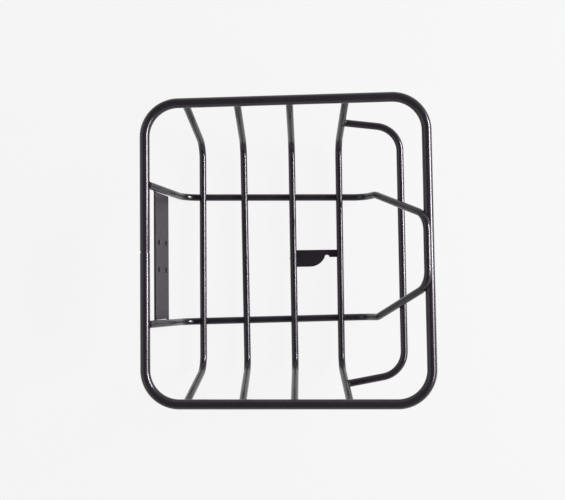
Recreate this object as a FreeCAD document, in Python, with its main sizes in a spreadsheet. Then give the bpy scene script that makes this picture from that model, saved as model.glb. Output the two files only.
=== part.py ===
import FreeCAD, Part
import math
import os

import Sketcher
from FreeCAD import Vector

# A front luggage carrier for a bicycle, welded from bent round steel tube.
# +X points forward, +Y to the left, +Z up. The origin is on the surface that the two runner rails
# rest on, below the middle of the top hoop. Lengths are in millimetres, angles in degrees.

doc = FreeCAD.newDocument("LuggageCarrier")
sheet = doc.addObject("Spreadsheet::Sheet", "Sizes")

SIZES = [
    # top hoop: the thicker tube all round the edge
    ("hoop_diameter", 12.7, "outside of the hoop tube"),
    ("hoop_wall", 1.5, "wall of the hoop tube"),
    ("hoop_length", 362.5, "rear tube axis to front tube axis"),
    ("hoop_width", 388.52, "side tube axes apart, at the hoop's middle"),
    ("hoop_flare", 9.6, "how much wider the hoop is at its front than at its rear"),
    ("hoop_shift", 0.035, "Y halfway between the side tubes, at the hoop's middle"),
    ("hoop_skew", 0.65, "how much further left halfway is at the front than at the rear"),
    ("hoop_corner_radius", 43.5, "bend radius of the hoop's corners"),
    ("hoop_joint_place", 0.5, "Y of the butt joint in the rear tube"),
    ("hoop_joint_gap", 1.2, "length of the butt joint"),
    ("hoop_joint_sink", 0.8, "depth of the joint's groove"),
    # the thinner tube of the cross-bars, the runner and the bumper
    ("thin_diameter", 9.6, "outside of the thin tube"),
    ("thin_wall", 1.2, "wall of the thin tube"),
    ("thin_bend_radius", 27.0, "bend radius of the thin tube"),
    ("seat_gap", 0.05, "gap between tubes that rest on each other"),
    # cross-bars
    ("bed_drop", 120.0, "hoop axis down to the axes of the cross-bars"),
    ("bed_length", 315.6, "bend to bend along a cross-bar"),
    ("bed_shift", 1.0, "middle of the beds from the hoop's middle"),
    ("bar_place_one", -119.1, "X of the rear cross-bar"),
    ("bar_lean_angle_one", -5.0, "its legs' lean forward"),
    ("bar_turn_angle_one", 0.2, "its turn in plan"),
    ("bar_place_two", -59.1, "X of the second cross-bar"),
    ("bar_lean_angle_two", -0.7, "its legs' lean forward"),
    ("bar_turn_angle_two", -0.5, "its turn in plan"),
    ("bar_place_three", 8.6, "X of the third cross-bar"),
    ("bar_lean_angle_three", -1.2, "its legs' lean forward"),
    ("bar_turn_angle_three", -0.2, "its turn in plan"),
    ("bar_place_four", 74.6, "X of the front cross-bar"),
    ("bar_lean_angle_four", 1.6, "its legs' lean forward"),
    ("bar_turn_angle_four", 0.1, "its turn in plan"),
    # runner: one tube with two rails, rising to the hoop at both ends
    ("runner_width", 173.4, "rail axes apart, at the hoop's middle"),
    ("runner_toe_in_angle", 0.75, "turn of each rail towards the other at the front"),
    ("runner_shift", -2.6, "middle of the runner from the hoop's middle"),
    ("riser_lean_angle", 12.7, "lean of the rear risers from upright"),
    ("riser_seat", 4.8, "riser axis inside the hoop's axis at its height"),
    ("fold_place", 109.6, "X where the rails turn up to the front"),
    ("fold_run", 33.0, "up the slope from the fold to the inward bend"),
    ("runner_front_width", 89.1, "corner to corner of the runner's front"),
    ("runner_front_angle", 68.0, "direction of the runner's front from the hoop's axis"),
    ("runner_front_bite", 0.1, "how deep the hoop is let into the runner's front"),
    # bumper: the U in front of the front cross-bar
    ("bumper_drop", 61.3, "hoop axis down to the bumper's axis"),
    ("bumper_front", 154.5, "X of the bumper's front"),
    ("bumper_width", 328.6, "corner to corner of the bumper's front"),
    ("bumper_shift", 2.9, "middle of the bumper's front from the hoop's middle"),
    ("bumper_corner_radius", 34.5, "bend radius of the bumper's corners"),
    # mounting plate between the rear risers
    ("plate_height", 46.3, "along the risers"),
    ("plate_thickness", 3.0, "thickness of the mounting plate"),
    ("plate_gap_top", 0.5, "gap to each riser at the plate's upper corners"),
    ("plate_gap_bottom", 1.5, "gap to each riser at its lower corners"),
    ("plate_shift", -0.3, "plate's middle from the runner's middle"),
    ("plate_drop", 44.2, "hoop's height down the risers to the plate's middle"),
    ("plate_corner_radius", 1.5, "rounded corners of the plate"),
    ("plate_edge_break", 0.3, "broken edges of the plate's front face"),
    ("bolt_hole_diameter", 7.0, "clearance holes for four bolts"),
    ("bolt_spacing_across", 36.0, "hole to hole across the plate"),
    ("bolt_spacing_along", 25.5, "hole to hole along the risers"),
    ("bolt_drop", 0.5, "plate's middle down to the holes' middle"),
    # hook plate under the third and front cross-bars
    ("hook_thickness", 3.0, "thickness of the hook plate"),
    ("hook_width", 23.8, "full width of the hook plate"),
    ("hook_edge_place", 8.1, "Y of its straight edge"),
    ("hook_overhang", 4.4, "past the axes of the two bars"),
    ("hook_round_place", 31.8, "X of the middle of its round end"),
    ("hook_strip_width", 10.5, "width of the strip to the front bar"),
    ("hook_notch_radius", 3.2, "round notch between the round end and the strip"),
    # weld beads
    ("bead_depth", 1.6, "how far the bead at a tube's end builds up on both tubes"),
    ("nugget_radius", 3.0, "weld spot where a cross-bar lies on a rail"),
    ("front_bead_start", 30.0, "from the runner's middle to its front beads"),
    ("front_bead_length", 24.0, "length of the runner's front beads"),
    ("front_bead_depth", 1.4, "how far the front beads build up on each tube"),
    ("riser_bead_depth", 0.8, "the same for the beads at the risers' ends"),
    ("riser_cap", 0.8, "thickness of the weld that closes a riser's end"),
    ("tab_length", 6.0, "weld tab at three corners of the mounting plate"),
    ("tab_overhang", 2.0, "how far a tab runs on past the plate's edge"),
    ("hook_bead_radius", 1.7, "round of a weld bead on the hook plate"),
    ("hook_bead_length", 8.0, "weld bead along a bar on the hook plate"),
]
for row, (alias, value, note) in enumerate(SIZES, start=1):
    sheet.set(f"A{row}", note)
    sheet.set(f"B{row}", str(value))
    sheet.setAlias(f"B{row}", alias)
doc.recompute()


def fill(text):
    """Turn $name into the sheet's cell of that name."""
    return text.replace("$", "Sizes.")


def value_of(text):
    return float(sheet.evalExpression(text))


# Radii, then heights from the surface upwards
THIN_RADIUS = fill("($thin_diameter / 2)")
THIN_BORE_RADIUS = fill("($thin_diameter / 2 - $thin_wall)")
HOOP_RADIUS = fill("($hoop_diameter / 2)")
HOOP_BORE_RADIUS = fill("($hoop_diameter / 2 - $hoop_wall)")
RAIL_LEVEL = THIN_RADIUS
BED_LEVEL = fill("($thin_diameter * 1.5 + $seat_gap)")
HOOP_LEVEL = fill(f"({BED_LEVEL} + $bed_drop)")
# Sketch planes: a plan, an upright plane along X, and an upright plane along Y that can lean
PLAN = "rotation(vector(0; 0; 1); 0)"
PLAN_ALONG_Y = "rotation(vector(1; 1; 0); 180)"
SIDE = "rotation(vector(1; 0; 0); 90)"
ACROSS = "rotation(vector(1; 1; 1); 120)"


def across(lean, turn="0"):
    """Upright plane with its first axis along Y, leant forward, then turned in plan."""
    return f"rotation(vector(0; 0; 1); -({turn})) * rotation(vector(0; 1; 0); {lean}) * {ACROSS}"


def placed(x, y, z, turn=PLAN):
    return f"placement(vector({x}; {y}; {z}); {turn})"


def bent_path(name, corners, radius, placement):
    """Sketch of straight runs joined by tangent arcs. The corners are where the runs would meet."""
    path = doc.addObject("Sketcher::SketchObject", name)
    path.setExpression("Placement", placement)
    sharp = [Vector(value_of(x), value_of(y), 0) for x, y in corners]
    bend = value_of(radius)
    along = [(after - before).normalize() for before, after in zip(sharp, sharp[1:])]
    setback = [0.0] + [bend * math.tan(a.getAngle(b) / 2) for a, b in zip(along, along[1:])] + [0.0]
    runs = [path.addGeometry(Part.LineSegment(sharp[i] + along[i] * setback[i],
                                              sharp[i + 1] - along[i] * setback[i + 1]), False)
            for i in range(len(along))]
    for i, (x, y) in enumerate(corners):
        point = path.addGeometry(Part.Point(sharp[i]), True)
        for kind, place, expression in (("DistanceX", sharp[i].x, x), ("DistanceY", sharp[i].y, y)):
            index = path.addConstraint(Sketcher.Constraint(kind, -1, 1, point, 1, place))
            path.setExpression(f"Constraints[{index}]", expression)
        if i == 0:
            path.addConstraint(Sketcher.Constraint("Coincident", point, 1, runs[0], 1))
        elif i == len(corners) - 1:
            path.addConstraint(Sketcher.Constraint("Coincident", point, 1, runs[-1], 2))
        else:
            path.addConstraint(Sketcher.Constraint("PointOnObject", point, 1, runs[i - 1]))
            path.addConstraint(Sketcher.Constraint("PointOnObject", point, 1, runs[i]))
    for i in range(1, len(along)):
        before, after = along[i - 1], along[i]
        inward = (after - before).normalize()
        middle = sharp[i] + inward * (bend / math.cos(before.getAngle(after) / 2) - bend)
        start, end = sharp[i] - before * setback[i], sharp[i] + after * setback[i]
        arc = path.addGeometry(Part.Arc(start, middle, end), False)
        first = 1 if path.getPoint(arc, 1).distanceToPoint(start) < bend * 1e-3 else 2
        path.addConstraint(Sketcher.Constraint("Tangent", runs[i - 1], 2, arc, first))
        path.addConstraint(Sketcher.Constraint("Tangent", arc, 3 - first, runs[i], 1))
        index = path.addConstraint(Sketcher.Constraint("Radius", arc, bend))
        path.setExpression(f"Constraints[{index}]", radius)
    return path


def rod(name, path, section_place, section_turn, radius):
    """Solid round bar along a path. Its section stands across one straight run."""
    section = doc.addObject("Part::Circle", f"{name}_section")
    section.setExpression("Radius", radius)
    where = placed(section_place[0], section_place[1], "0", section_turn)
    section.setExpression("Placement", f"{path.Name}.Placement * {where}")
    sweep = doc.addObject("Part::Sweep", name)
    sweep.Sections = [section]
    sweep.Spine = (path, [])
    sweep.Solid = True
    return sweep


ALONG_FIRST_AXIS = "rotation(vector(0; 1; 0); 90)"
ALONG_SECOND_AXIS = "rotation(vector(1; 0; 0); 90)"


def cut(name, base, tool):
    piece = doc.addObject("Part::Cut", name)
    piece.Base, piece.Tool = base, tool
    return piece


def joined(name, shapes):
    piece = doc.addObject("Part::MultiFuse", name)
    piece.Shapes = shapes
    return piece


def primitive(kind, name, placement, **sizes):
    piece = doc.addObject(kind, name)
    for size, expression in sizes.items():
        piece.setExpression(size, fill(expression))
    piece.setExpression("Placement", fill(placement))
    return piece


sub_parts = []


def sub_part(piece, label):
    piece.Label = label
    sub_parts.append(piece)
    return piece


# Top hoop: one tube bent to a ring, its ends butted in the middle of the rear side
REAR_X = fill("(-$hoop_length / 2)")
FRONT_X = fill("($hoop_length / 2)")


def hoop_left(x):
    """Y of the left side tube's axis at a place along X."""
    return fill(f"($hoop_shift + $hoop_width / 2 + ($hoop_skew + $hoop_flare / 2) * ({x}) / $hoop_length)")


def hoop_right(x):
    """Y of the right side tube's axis at a place along X."""
    return fill(f"($hoop_shift - $hoop_width / 2 + ($hoop_skew - $hoop_flare / 2) * ({x}) / $hoop_length)")


hoop_corners = [
    (REAR_X, fill("$hoop_joint_place + $hoop_joint_gap / 2")),
    (REAR_X, hoop_left(REAR_X)),
    (FRONT_X, hoop_left(FRONT_X)),
    (FRONT_X, hoop_right(FRONT_X)),
    (REAR_X, hoop_right(REAR_X)),
    (REAR_X, fill("$hoop_joint_place - $hoop_joint_gap / 2")),
]
hoop_path = bent_path("hoop_path", hoop_corners, fill("$hoop_corner_radius"), placed("0", "0", HOOP_LEVEL))
hoop_outside = rod("hoop_outside", hoop_path, (FRONT_X, "0"), ALONG_SECOND_AXIS, HOOP_RADIUS)
hoop_bore = rod("hoop_bore", hoop_path, (FRONT_X, "0"), ALONG_SECOND_AXIS, HOOP_BORE_RADIUS)
sub_part(cut("hoop_cut", hoop_outside, hoop_bore), "hoop_tube")

# Butt weld of the hoop: a ring between the two tube ends, ground a little below the tube's surface
weld_place = placed(REAR_X, "$hoop_joint_place - $hoop_joint_gap / 2", HOOP_LEVEL,
                    "rotation(vector(1; 0; 0); -90)")
weld_outside = primitive("Part::Cylinder", "weld_outside", weld_place,
                         Radius="$hoop_diameter / 2 - $hoop_joint_sink", Height="$hoop_joint_gap")
weld_bore = primitive("Part::Cylinder", "weld_bore", weld_place, Radius=HOOP_BORE_RADIUS,
                      Height="$hoop_joint_gap")
sub_part(cut("weld_cut", weld_outside, weld_bore), "hoop_joint_weld")


# Cross-bars: four U-shaped tubes across the carrier, their legs coped to the underside of the hoop
bars = []
for number, word in enumerate(("one", "two", "three", "four"), start=1):
    place, lean, turn = (fill(f"$bar_{size}_{word}") for size in ("place", "lean_angle", "turn_angle"))
    top = f"({place} + Sizes.bed_drop * tan({lean}))"
    leg_rise = fill(f"($bed_drop / cos({lean}))")
    left_end, right_end = hoop_left(top), hoop_right(top)
    right_bend = fill("($bed_shift - $bed_length / 2)")
    left_bend = fill("($bed_shift + $bed_length / 2)")
    corners = [(right_end, leg_rise), (right_bend, "0"), (left_bend, "0"), (left_end, leg_rise)]
    path = bent_path(f"bar_{number}_path", corners, fill("$thin_bend_radius"),
                     placed(place, "0", BED_LEVEL, across(lean, turn)))
    outside = rod(f"bar_{number}_outside", path, ("0", "0"), ALONG_FIRST_AXIS, THIN_RADIUS)
    bore = rod(f"bar_{number}_bore", path, ("0", "0"), ALONG_FIRST_AXIS, THIN_BORE_RADIUS)
    tube = cut(f"bar_{number}_tube", outside, bore)
    sub_part(cut(f"bar_{number}_coped", tube, hoop_outside), f"cross_bar_{number}")
    bars.append({"path": path, "outside": outside, "place": place, "lean": lean, "turn": turn,
                 "left_end": left_end, "right_end": right_end, "left_bend": left_bend, "right_bend": right_bend})


def rail_half_width(x):
    """Half the distance between the rails' axes at a place along X."""
    return fill(f"($runner_width / 2 - ({x}) * tan($runner_toe_in_angle))")


# Runner: rails under the cross-bars. Each rail starts at the rear of the hoop, drops down the riser,
# runs forward and folds up. The sloping front joins both rails and lies on the hoop's front tube.
riser_top = fill("(-$hoop_length / 2 + $riser_seat)")
riser_foot = fill(f"({riser_top} + ({HOOP_LEVEL} - {RAIL_LEVEL}) * tan($riser_lean_angle))")
front_reach = fill("($hoop_diameter / 2 + $thin_diameter / 2 - $runner_front_bite)")
front_x = fill(f"($hoop_length / 2 - {front_reach} * cos($runner_front_angle))")
front_z = fill(f"({HOOP_LEVEL} + {front_reach} * sin($runner_front_angle))")
front_lean = fill(f"atan(({front_x} - $fold_place) / ({front_z} - {RAIL_LEVEL}))")
front_length = fill(f"hypot({front_x} - $fold_place; {front_z} - {RAIL_LEVEL})")
half_width = fill("($runner_width / 2)")
half_front = fill("($runner_front_width / 2)")
inward_width = rail_half_width(f"$fold_place + $fold_run * sin({front_lean})")
inward_turn = fill(f"atan(({inward_width} - {half_front}) / ({front_length} - $fold_run))")
fold_setback = fill(f"$thin_bend_radius * tan((90 deg - {front_lean}) / 2)")
inward_setback = fill(f"$thin_bend_radius * tan({inward_turn} / 2)")
stub = fill(f"(({fold_setback} + $fold_run - {inward_setback}) / 2)")
stub_x = fill(f"($fold_place + {stub} * sin({front_lean}))")
stub_width = rail_half_width(stub_x)
rail_corners = [
    (fill(f"{x} / cos($runner_toe_in_angle)"), z)
    for x, z in ((riser_top, HOOP_LEVEL), (riser_foot, RAIL_LEVEL), ("Sizes.fold_place", RAIL_LEVEL),
                 (stub_x, f"{RAIL_LEVEL} + {stub} * cos({front_lean})"))
]
front_corners = [
    (f"-{stub_width}", stub),
    (f"-{inward_width}", fill("$fold_run")),
    (f"-{half_front}", front_length),
    (half_front, front_length),
    (inward_width, fill("$fold_run")),
    (stub_width, stub),
]
bend_radius = fill("$thin_bend_radius")
runner_shift = fill("$runner_shift")
rail_paths = [
    bent_path(f"rail_{side}_path", rail_corners, bend_radius,
              placed("0", f"{runner_shift} {sign} {half_width}", "0",
                     f"rotation(vector(0; 0; 1); {turn}Sizes.runner_toe_in_angle) * {SIDE}"))
    for side, sign, turn in (("left", "+", "-"), ("right", "-", ""))
]
front_path = bent_path("runner_front_path", front_corners, bend_radius,
                       placed(fill("$fold_place"), runner_shift, RAIL_LEVEL, across(front_lean)))


def runner_rod(name, radius):
    rails = [rod(f"{name}_{i}", path, ("0", RAIL_LEVEL), ALONG_FIRST_AXIS, radius)
             for i, path in enumerate(rail_paths)]
    front = rod(f"{name}_front", front_path, ("0", front_length), ALONG_FIRST_AXIS, radius)
    return joined(name, rails + [front])


runner_outside = runner_rod("runner_outside", THIN_RADIUS)
runner_bore = runner_rod("runner_bore", THIN_BORE_RADIUS)
runner_tube = cut("runner_hollow", runner_outside, runner_bore)
sub_part(cut("runner_coped", runner_tube, hoop_outside), "runner_tube")

# Bumper: a flat U in front of the front cross-bar, its arms coped to that bar's legs
front_bar = bars[3]
dropped = fill("($bumper_drop / $bed_drop)")
leg_x = fill(f"({front_bar['place']} + ($bed_drop - $bumper_drop) * tan({front_bar['lean']}))")
left_leg, right_leg = (f"({front_bar[end]} + ({front_bar[bend]} - {front_bar[end]}) * {dropped})"
                       for end, bend in (("left_end", "left_bend"), ("right_end", "right_bend")))
bumper_corners = [
    (right_leg, leg_x),
    (fill("$bumper_shift - $bumper_width / 2"), fill("$bumper_front")),
    (fill("$bumper_shift + $bumper_width / 2"), fill("$bumper_front")),
    (left_leg, leg_x),
]
BUMPER_LEVEL = fill(f"({HOOP_LEVEL} - $bumper_drop)")
bumper_path = bent_path("bumper_path", bumper_corners, fill("$bumper_corner_radius"),
                        placed("0", "0", BUMPER_LEVEL, PLAN_ALONG_Y))
bumper_middle = (fill("$bumper_shift"), fill("$bumper_front"))
bumper_outside = rod("bumper_outside", bumper_path, bumper_middle, ALONG_FIRST_AXIS, THIN_RADIUS)
bumper_bore = rod("bumper_bore", bumper_path, bumper_middle, ALONG_FIRST_AXIS, THIN_BORE_RADIUS)
bumper_tube = cut("bumper_tube", bumper_outside, bumper_bore)
sub_part(cut("bumper_coped", bumper_tube, front_bar["outside"]), "bumper_hoop")


def datum_plane(body, role):
    return next(plane for plane in body.Origin.OriginFeatures if plane.Role == role)


def flat_sketch(body, name, outline):
    """Closed outline on the body's own XY plane. Each line or arc of the outline starts where the
    one before it ends, and each of its ends is set by a pair of expressions."""
    sketch = body.newObject("Sketcher::SketchObject", name)
    sketch.AttachmentSupport = [(datum_plane(body, "XY_Plane"), "")]
    sketch.MapMode = "FlatFace"
    ends = [Vector(value_of(x), value_of(y), 0) for (x, y), _ in outline]
    edges = []
    for i, (_, bulge) in enumerate(outline):
        start, end = ends[i], ends[(i + 1) % len(outline)]
        if bulge is None:
            edges.append((sketch.addGeometry(Part.LineSegment(start, end), False), 1, 2))
            continue
        centre, radius = bulge
        middle_of_arc = Vector(value_of(centre[0]), value_of(centre[1]), 0)
        outward = ((start + end) * 0.5 - middle_of_arc).normalize() * value_of(radius)
        arc = sketch.addGeometry(Part.Arc(start, middle_of_arc + outward, end), False)
        first = 1 if sketch.getPoint(arc, 1).distanceToPoint(start) < 1e-3 else 2
        edges.append((arc, first, 3 - first))
        index = sketch.addConstraint(Sketcher.Constraint("Radius", arc, value_of(radius)))
        sketch.setExpression(f"Constraints[{index}]", radius)
    for i, ((x, y), _) in enumerate(outline):
        edge, first, _ = edges[i]
        before, _, last = edges[i - 1]
        sketch.addConstraint(Sketcher.Constraint("Coincident", before, last, edge, first))
        for kind, place, expression in (("DistanceX", ends[i].x, x), ("DistanceY", ends[i].y, y)):
            index = sketch.addConstraint(Sketcher.Constraint(kind, -1, 1, edge, first, place))
            sketch.setExpression(f"Constraints[{index}]", expression)
    return sketch


def circle_sketch(body, name, circles, radius):
    """Equal circles on the body's own XY plane, each centre set by a pair of expressions."""
    sketch = body.newObject("Sketcher::SketchObject", name)
    sketch.AttachmentSupport = [(datum_plane(body, "XY_Plane"), "")]
    sketch.MapMode = "FlatFace"
    for x, y in circles:
        centre = Vector(value_of(x), value_of(y), 0)
        circle = sketch.addGeometry(Part.Circle(centre, Vector(0, 0, 1), value_of(radius)), False)
        for kind, place, expression in (("DistanceX", centre.x, x), ("DistanceY", centre.y, y)):
            index = sketch.addConstraint(Sketcher.Constraint(kind, -1, 1, circle, 3, place))
            sketch.setExpression(f"Constraints[{index}]", expression)
        index = sketch.addConstraint(Sketcher.Constraint("Radius", circle, value_of(radius)))
        sketch.setExpression(f"Constraints[{index}]", radius)
    return sketch


def padded(body, sketch, thickness):
    """Plate as thick as said, half of it on each side of the sketch."""
    pad = body.newObject("PartDesign::Pad", f"{body.Name}_pad")
    pad.Profile = sketch
    pad.SideType = "Symmetric"
    pad.setExpression("Length", thickness)
    return pad


def pocketed(body, sketch, name):
    """Holes right through the plate, both ways from the sketch."""
    solid_before = body.Shape.Volume
    pocket = body.newObject("PartDesign::Pocket", name)
    pocket.Profile = sketch
    pocket.SideType = "Symmetric"
    pocket.Type = "ThroughAll"
    doc.recompute()
    if not body.Shape.Volume < solid_before:
        raise RuntimeError(f"{name} cut nothing")
    return pocket


# Mounting plate: flat steel between the rear risers, in the plane of their axes, with four bolt holes
plate = doc.addObject("PartDesign::Body", "plate_body")
riser_lean = fill("-$riser_lean_angle")
plate_centre_x = fill(f"{riser_top} + $plate_drop * sin($riser_lean_angle)")
plate_centre_z = fill(f"{HOOP_LEVEL} - $plate_drop * cos($riser_lean_angle)")
plate_y = fill(f"{runner_shift} + $plate_shift")
plate.setExpression("Placement", placed(plate_centre_x, plate_y, plate_centre_z, across(riser_lean)))
riser_side = f"{rail_half_width(plate_centre_x)} - {THIN_RADIUS}"
plate_top_half, plate_bottom_half = (fill(f"({riser_side} - $plate_gap_{end})") for end in ("top", "bottom"))
half_height = fill("($plate_height / 2)")
plate_outline = [((f"-{plate_bottom_half}", f"-{half_height}"), None),
                 ((plate_bottom_half, f"-{half_height}"), None),
                 ((plate_top_half, half_height), None), ((f"-{plate_top_half}", half_height), None)]
padded(plate, flat_sketch(plate, "plate_outline", plate_outline), fill("$plate_thickness"))
doc.recompute()
corner_edges = [f"Edge{i}" for i, edge in enumerate(plate.Shape.Edges, start=1)
                if abs(edge.Length - value_of(fill("$plate_thickness"))) < 1e-6]
square_plate = plate.Tip
rounding = plate.newObject("PartDesign::Fillet", "plate_corners")
rounding.Base = (square_plate, corner_edges)
rounding.setExpression("Radius", fill("$plate_corner_radius"))
doc.recompute()
bolt_places = [(fill(f"{sx}$bolt_spacing_across / 2"), fill(f"-$bolt_drop {sy} $bolt_spacing_along / 2"))
               for sx in ("-", "") for sy in ("-", "+")]
bolt_circles = circle_sketch(plate, "bolt_circles", bolt_places, fill("$bolt_hole_diameter / 2"))
pocketed(plate, bolt_circles, "bolt_holes")
drilled_plate = plate.Tip
large_faces = sorted(range(len(plate.Shape.Faces)), key=lambda i: plate.Shape.Faces[i].Area)[-2:]
front_face = max(large_faces, key=lambda i: plate.Shape.Faces[i].CenterOfMass.x)
edge_break = plate.newObject("PartDesign::Chamfer", "plate_edges")
edge_break.Base = (drilled_plate, [f"Face{front_face + 1}"])
edge_break.setExpression("Size", fill("$plate_edge_break"))
sub_part(plate, "mounting_plate")

# Hook plate: flat steel under the third and front cross-bars, with a round end and a notch
hook = doc.addObject("PartDesign::Body", "hook_body")
hook_top = fill(f"({BED_LEVEL} - {THIN_RADIUS} - $seat_gap)")
hook.setExpression("Placement", placed("0", "0", fill(f"{hook_top} - $hook_thickness / 2")))
hook_rear = fill("($bar_place_three - $hook_overhang)")
hook_front = fill("($bar_place_four + $hook_overhang)")
hook_edge = fill("$hook_edge_place")
hook_low = fill("($hook_edge_place - $hook_width)")
strip_low = fill("($hook_edge_place - $hook_strip_width)")
hook_round = fill("$hook_round_place")
round_end = fill(f"({hook_round} + sqrt($hook_width ^ 2 - $hook_strip_width ^ 2))")
hook_outline = [
    ((hook_rear, hook_edge), None),
    ((hook_rear, hook_low), None),
    ((hook_round, hook_low), ((hook_round, hook_edge), fill("$hook_width"))),
    ((round_end, strip_low), None),
    ((hook_front, strip_low), None),
    ((hook_front, hook_edge), None),
]
padded(hook, flat_sketch(hook, "hook_outline", hook_outline), fill("$hook_thickness"))
doc.recompute()
notch_place = [(fill(f"{round_end} + $hook_notch_radius"), strip_low)]
pocketed(hook, circle_sketch(hook, "notch_circle", notch_place, fill("$hook_notch_radius")), "hook_notch")
sub_part(hook, "hook_plate")

# Weld beads. The bead at a tube's end is the space that is within the bead's depth of both tubes.
def beads(label, shapes, tools):
    rounds = joined(f"{label}_rounds", shapes) if len(shapes) > 1 else shapes[0]
    for i, tool in enumerate(tools):
        rounds = cut(f"{label}_cut_{i}", rounds, tool)
    return sub_part(rounds, label)


def common(name, shapes):
    piece = doc.addObject("Part::MultiCommon", name)
    piece.Shapes = shapes
    return piece


THIN_HALO_RADIUS = fill(f"({THIN_RADIUS} + $bead_depth)")
HOOP_HALO_RADIUS = fill(f"({HOOP_RADIUS} + $bead_depth)")
hoop_halo = rod("hoop_halo", hoop_path, (FRONT_X, "0"), ALONG_SECOND_AXIS, HOOP_HALO_RADIUS)
for number, bar in enumerate(bars, start=1):
    bar["halo"] = rod(f"bar_{number}_halo", bar["path"], ("0", "0"), ALONG_FIRST_AXIS, THIN_HALO_RADIUS)
    ends = common(f"bar_{number}_ends", [bar["halo"], hoop_halo])
    beads(f"cross_bar_{number}_end_welds", [ends], [hoop_outside, bar["outside"]])
    spots = []
    for side, sign in (("left", ""), ("right", "-")):
        rail_y = f"({runner_shift} + ({sign}{rail_half_width(bar['place'])}))"
        rail_x = f"({bar['place']} + {rail_y} * tan({bar['turn']}))"
        nugget = placed(rail_x, rail_y, f"{BED_LEVEL} - {THIN_RADIUS} - Sizes.seat_gap / 2")
        spots.append(primitive("Part::Sphere", f"bar_{number}_{side}_spot", nugget, Radius="$nugget_radius"))
    beads(f"cross_bar_{number}_rail_welds", spots, [bar["outside"], runner_outside])

# A riser's end stands a little inside the hoop, so its bead also closes the end with a flat cap
near_hoop = rod("near_hoop", hoop_path, (FRONT_X, "0"), ALONG_SECOND_AXIS,
                fill(f"({HOOP_RADIUS} + $riser_bead_depth)"))
riser_ends = []
for side, sign, path in zip(("left", "right"), ("+", "-"), rail_paths):
    near_rail = rod(f"near_rail_{side}", path, ("0", RAIL_LEVEL), ALONG_FIRST_AXIS,
                    fill(f"({THIN_RADIUS} + $riser_bead_depth)"))
    riser_ends.append(common(f"riser_{side}_end", [near_rail, near_hoop]))
    top = placed(riser_top, f"{runner_shift} {sign} {rail_half_width(riser_top)}", HOOP_LEVEL,
                 f"rotation(vector(0; 1; 0); {riser_lean})")
    riser_ends.append(primitive("Part::Cylinder", f"riser_{side}_cap", f"{top} * {placed('0', '0', '-$riser_cap')}",
                                Radius=f"{THIN_RADIUS} + $riser_bead_depth / 2", Height="2 * $riser_cap"))
beads("runner_rear_welds", riser_ends, [hoop_outside, runner_outside])

# The front beads fill the grooves beside the line where the runner's front bends away from the hoop
front_halo = rod("front_halo", front_path, ("0", front_length), ALONG_FIRST_AXIS,
                 fill(f"({THIN_RADIUS} + $front_bead_depth)"))
front_beads = []
for side, start in (("left", "$front_bead_start"), ("right", "-$front_bead_start - $front_bead_length")):
    where = placed(FRONT_X, f"{runner_shift} + {start}", HOOP_LEVEL, "rotation(vector(1; 0; 0); -90)")
    stretch = primitive("Part::Cylinder", f"front_stretch_{side}", where,
                        Radius=f"{HOOP_RADIUS} + $front_bead_depth", Height="$front_bead_length")
    front_beads.append(common(f"front_bead_{side}", [stretch, front_halo]))
beads("runner_front_welds", front_beads, [hoop_outside, runner_outside])

bumper_halo = rod("bumper_halo", bumper_path, bumper_middle, ALONG_FIRST_AXIS, THIN_HALO_RADIUS)
bumper_ends = common("bumper_ends", [bumper_halo, front_bar["halo"]])
beads("bumper_welds", [bumper_ends], [front_bar["outside"], bumper_outside])

plate_tabs = []
for sign, level in (("", "top"), ("-", "top"), ("-", "bottom")):
    tab_out = fill(f"{sign}({riser_side} - $plate_gap_{level} / 2)")
    tab_low = fill("$plate_height / 2 + $tab_overhang - $tab_length" if level == "top"
                   else "-$plate_height / 2 - $tab_overhang")
    where = f"{plate.Name}.Placement * " + placed(tab_out, tab_low, "0", "rotation(vector(1; 0; 0); -90)")
    plate_tabs.append(primitive("Part::Cylinder", f"plate_tab_{len(plate_tabs) + 1}", where,
                                Radius="$plate_thickness / 2", Height="$tab_length"))
beads("mounting_plate_welds", plate_tabs, [runner_outside, plate])

hook_beads = []
for number, middle in ((3, f"{hook_edge} - Sizes.hook_width / 2"),
                       (4, f"{hook_edge} - Sizes.hook_strip_width / 2")):
    bar = bars[number - 1]
    for side, sign in (("rear", "-"), ("front", "+")):
        bead_x = f"{bar['place']} + ({middle}) * tan({bar['turn']}) {sign} {THIN_RADIUS} * 0.7"
        where = placed(bead_x, f"{middle} - Sizes.hook_bead_length / 2", f"{hook_top} + Sizes.seat_gap",
                       "rotation(vector(1; 0; 0); -90)")
        hook_beads.append(primitive("Part::Cylinder", f"hook_{number}_{side}", where,
                                    Radius="$hook_bead_radius", Height="$hook_bead_length"))
beads("hook_plate_welds", hook_beads, [bar["outside"] for bar in bars[2:]] + [hook])

doc.recompute()
for item in doc.Objects:
    if "Invalid" in item.State or "Error" in item.State:
        raise RuntimeError(f"{item.Label} failed: {item.State}")
for piece in sub_parts:
    if piece.Shape.isNull() or not piece.Shape.isValid() or not piece.Shape.Solids:
        raise RuntimeError(f"{piece.Label} has no valid shape")

os.makedirs("parts", exist_ok=True)
for piece in sub_parts:
    piece.Shape.exportStep(f"parts/{piece.Label}.step")
    print(f"{piece.Label}: {len(piece.Shape.Solids)} solids, {piece.Shape.Volume:.0f} mm3")
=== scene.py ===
import math

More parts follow.
